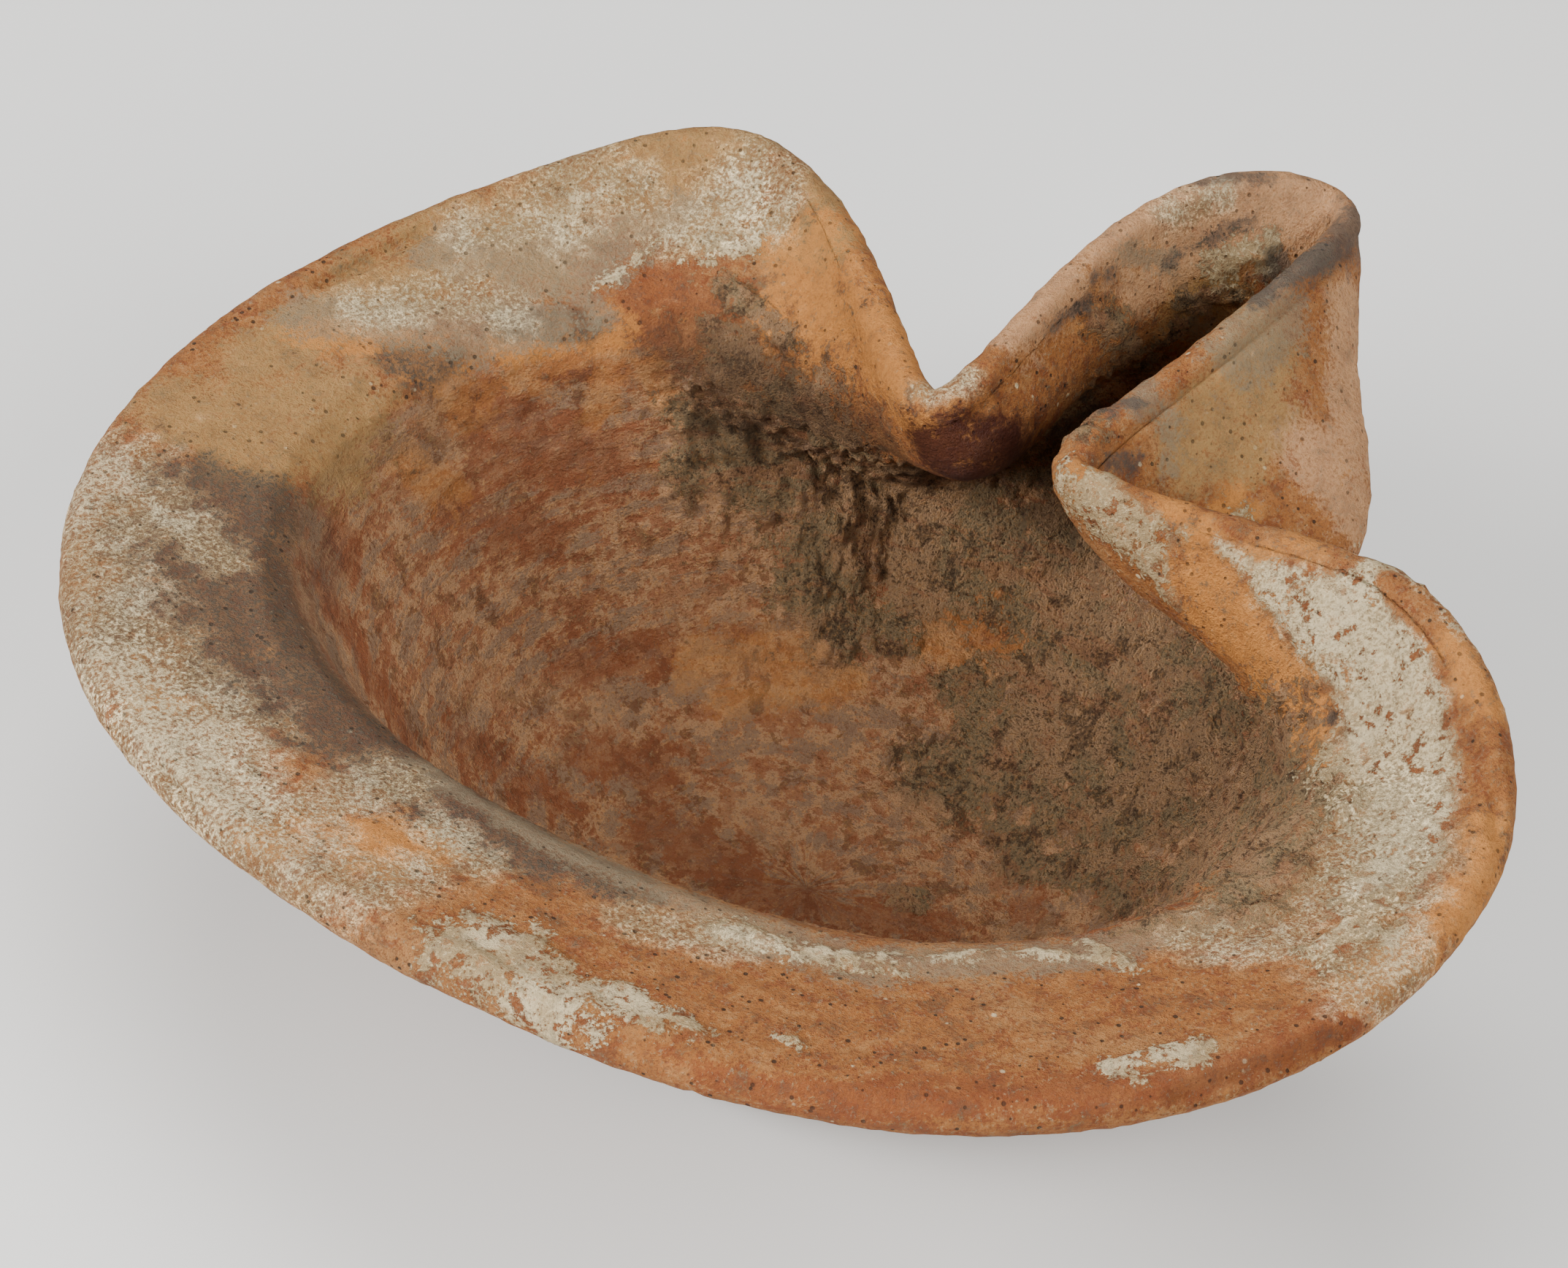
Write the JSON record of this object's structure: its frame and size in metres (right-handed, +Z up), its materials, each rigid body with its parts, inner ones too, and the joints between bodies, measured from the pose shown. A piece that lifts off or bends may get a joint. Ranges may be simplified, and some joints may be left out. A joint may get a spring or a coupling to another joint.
{
  "type": "oil lamp",
  "caption": "Open saucer oil lamp of fired clay: a round bowl with a broad turned-out rim that is pinched on both sides to form one wick nozzle.",
  "frame": {"origin": "middle of the flat underside, on the axis of the wheel the lamp was thrown on", "axes": "+X along the nozzle, +Y to the lamp's left, +Z up"},
  "size_m": [0.1384, 0.1344, 0.0541],
  "materials": {
    "fired_clay": "matt fired earthenware, orange to brown, with pale earth crust and soot at the nozzle"
  },
  "bodies": {
    "root": {"lamp_body": "fired_clay"}
  },
  "joints": []
}
